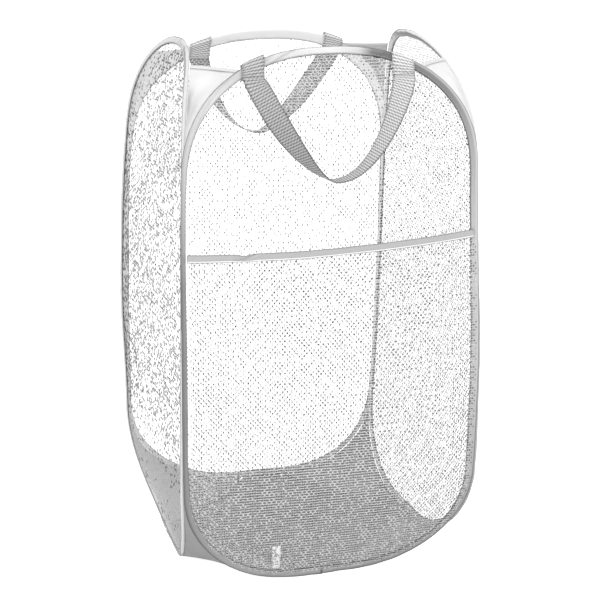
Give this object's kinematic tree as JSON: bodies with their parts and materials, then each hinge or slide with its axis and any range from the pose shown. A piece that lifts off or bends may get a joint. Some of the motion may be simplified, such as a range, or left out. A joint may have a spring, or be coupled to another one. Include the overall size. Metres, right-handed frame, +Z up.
{
  "type": "pop up laundry hamper",
  "caption": "Free-standing pop-up laundry hamper of four sprung see-through mesh panels round a cloth base, with corner gussets, a side pocket and two webbing handles.",
  "frame": {"origin": "centre of the footprint on the floor", "axes": "+Z up, the front with the pocket faces -Y, +X to the viewer's right seen from the front"},
  "size_m": [0.345, 0.4022, 0.6099],
  "materials": {
    "mesh_cloth": "open knitted mesh, white, matt",
    "binding_tape": "folded woven tape, pale grey, stitched",
    "gusset_cloth": "thin plain-weave cloth, pale grey, slightly sheer",
    "base_cloth": "plain-weave cloth, grey, matt",
    "webbing": "woven webbing, mid grey, ribbed",
    "label_cloth": "satin tape, white, blank",
    "spring_steel": "drawn spring wire"
  },
  "bodies": {
    "front_side": {"front_wire_hoop": "spring_steel", "front_wire_ferrule": "spring_steel", "front_binding": "binding_tape", "front_mesh": "mesh_cloth", "pocket_mesh": "mesh_cloth", "pocket_hem": "binding_tape", "blank_label": "label_cloth", "front_handle_left_end": "webbing", "front_handle_right_end": "webbing", "base_panel": "base_cloth", "front_left_top_gusset": "gusset_cloth", "front_left_gusset_hem": "gusset_cloth", "front_left_low_gusset": "gusset_cloth", "front_right_top_gusset": "gusset_cloth", "front_right_gusset_hem": "gusset_cloth", "front_right_low_gusset": "gusset_cloth"},
    "left_side": {"left_wire_hoop": "spring_steel", "left_wire_ferrule": "spring_steel", "left_binding": "binding_tape", "left_mesh": "mesh_cloth", "rear_left_top_gusset": "gusset_cloth", "rear_left_gusset_hem": "gusset_cloth", "rear_left_low_gusset": "gusset_cloth"},
    "right_side": {"right_wire_hoop": "spring_steel", "right_wire_ferrule": "spring_steel", "right_binding": "binding_tape", "right_mesh": "mesh_cloth", "rear_right_top_gusset": "gusset_cloth", "rear_right_gusset_hem": "gusset_cloth", "rear_right_low_gusset": "gusset_cloth"},
    "rear_side": {"rear_wire_hoop": "spring_steel", "rear_wire_ferrule": "spring_steel", "rear_binding": "binding_tape", "rear_mesh": "mesh_cloth", "rear_handle_left_end": "webbing", "rear_handle_right_end": "webbing"},
    "front_handle": {"front_handle_strap": "webbing"},
    "rear_handle": {"rear_handle_strap": "webbing"}
  },
  "joints": [
    {"name": "left_side_fold", "type": "hinge", "parent": "front_side", "child": "left_side", "pos_m": [-0.16718, -0.16968, 0.3], "axis": [0, 0, -1], "range_deg": [0, 64], "stiffness_Nm_per_rad": 0.6, "deforming": ["front_left_top_gusset", "front_left_gusset_hem", "front_left_low_gusset", "base_panel"]},
    {"name": "right_side_fold", "type": "hinge", "parent": "front_side", "child": "right_side", "pos_m": [0.16718, -0.16968, 0.3], "axis": [0, 0, -1], "range_deg": [0, 64], "deforming": ["front_right_top_gusset", "front_right_gusset_hem", "front_right_low_gusset", "rear_right_top_gusset", "rear_right_gusset_hem", "rear_right_low_gusset"]},
    {"name": "rear_side_fold", "type": "hinge", "parent": "left_side", "child": "rear_side", "pos_m": [-0.16718, 0.16968, 0.3], "axis": [0, 0, -1], "range_deg": [-64, 0], "deforming": ["rear_left_top_gusset", "rear_left_gusset_hem", "rear_left_low_gusset"]},
    {"name": "front_handle_swing", "type": "hinge", "parent": "front_side", "child": "front_handle", "pos_m": [0, -0.16493, 0.57605], "axis": [-1, 0, 0], "range_deg": [0, 160]},
    {"name": "rear_handle_swing", "type": "hinge", "parent": "rear_side", "child": "rear_handle", "pos_m": [0, 0.16493, 0.57605], "axis": [1, 0, 0], "range_deg": [0, 160]}
  ],
  "couplings": [
    {"joint": "right_side_fold", "follows": "left_side_fold", "ratio": 1},
    {"joint": "rear_side_fold", "follows": "left_side_fold", "ratio": -1}
  ]
}
